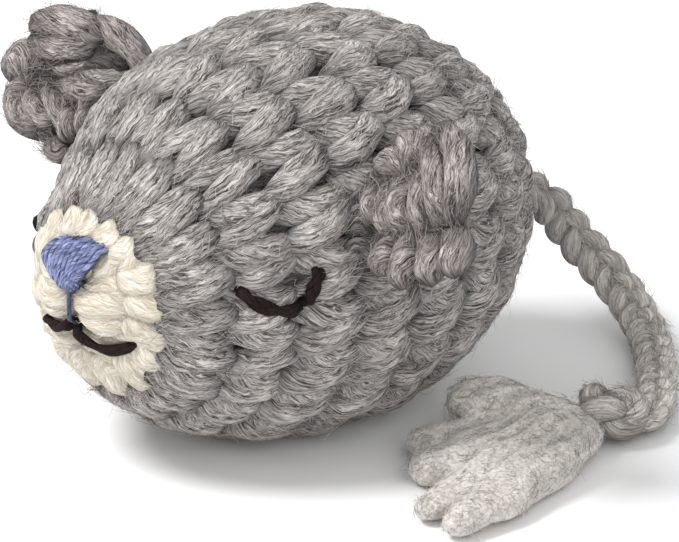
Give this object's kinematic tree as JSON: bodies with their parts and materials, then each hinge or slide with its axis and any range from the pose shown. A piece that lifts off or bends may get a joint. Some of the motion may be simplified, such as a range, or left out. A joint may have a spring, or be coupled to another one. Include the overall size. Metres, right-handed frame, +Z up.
{
  "type": "crocheted mouse toy",
  "caption": "Stuffed crocheted wool mouse with a cream muzzle, embroidered sleepy face, round ears and a cord tail ending in a knot and a teased wool tassel.",
  "frame": {"origin": "middle of the flat rest patch under the body, below the body's widest station", "axes": "+Z up, -Y towards the nose, +X towards the mouse's left ear"},
  "size_m": [0.1136, 0.117, 0.0661],
  "materials": {
    "grey_wool": "thick heather grey wool yarn, crocheted, fuzzy",
    "cream_wool": "thick cream wool yarn, crocheted, fuzzy",
    "ear_wool": "darker grey-brown wool yarn, crocheted",
    "blue_floss": "lustrous periwinkle blue embroidery floss, satin stitch",
    "brown_thread": "dark brown yarn, embroidered",
    "fibre_filling": "white polyester fibre filling",
    "tail_wool": "grey-brown wool cord, crocheted",
    "tassel_wool": "pale grey unspun wool, teased and lightly felted"
  },
  "bodies": {
    "body": {"body_shell": "grey_wool", "muzzle_cap": "cream_wool", "rear_gather": "grey_wool", "stuffing": "fibre_filling", "left_ear_seam": "ear_wool", "right_ear_seam": "ear_wool", "nose": "blue_floss", "philtrum": "blue_floss", "mouth_left": "brown_thread", "mouth_right": "brown_thread", "left_eye_lid": "brown_thread", "left_eye_lash": "brown_thread", "right_eye_lid": "brown_thread", "right_eye_lash": "brown_thread"},
    "left_ear_flap": {"left_ear": "ear_wool"},
    "right_ear_flap": {"right_ear": "ear_wool"},
    "tail_pivot": {"tail_root": "tail_wool"},
    "tail": {"tail_cord": "tail_wool", "tail_knot": "tail_wool"},
    "tassel": {"tassel_head": "tassel_wool", "tassel_lock_1": "tassel_wool", "tassel_lock_2": "tassel_wool", "tassel_lock_3": "tassel_wool", "tassel_lock_4": "tassel_wool", "tassel_lock_5": "tassel_wool", "tassel_lock_6": "tassel_wool"}
  },
  "joints": [
    {"name": "left_ear_bend", "type": "hinge", "parent": "body", "child": "left_ear_flap", "pos_m": [0.03039, -0.0088, 0.04664], "axis": [0.3589, -0.4908, -0.7939], "range_deg": [-25, 25], "stiffness_Nm_per_rad": 0.004},
    {"name": "right_ear_bend", "type": "hinge", "parent": "body", "child": "right_ear_flap", "pos_m": [-0.03039, -0.0088, 0.04664], "axis": [0.3589, 0.4908, 0.7939], "range_deg": [-25, 25], "stiffness_Nm_per_rad": 0.004},
    {"name": "tail_swing", "type": "hinge", "parent": "body", "child": "tail_pivot", "pos_m": [0, 0.0432, 0.0278], "axis": [0, 0, 1], "range_deg": [0, 55]},
    {"name": "tail_lift", "type": "hinge", "parent": "tail_pivot", "child": "tail", "pos_m": [0, 0.0432, 0.0278], "axis": [0, -1, 0], "range_deg": [0, 20]},
    {"name": "tassel_swing", "type": "hinge", "parent": "tail", "child": "tassel", "pos_m": [0.046, 0.0262, 0.0044], "axis": [0, 0, 1], "range_deg": [0, 35]}
  ]
}
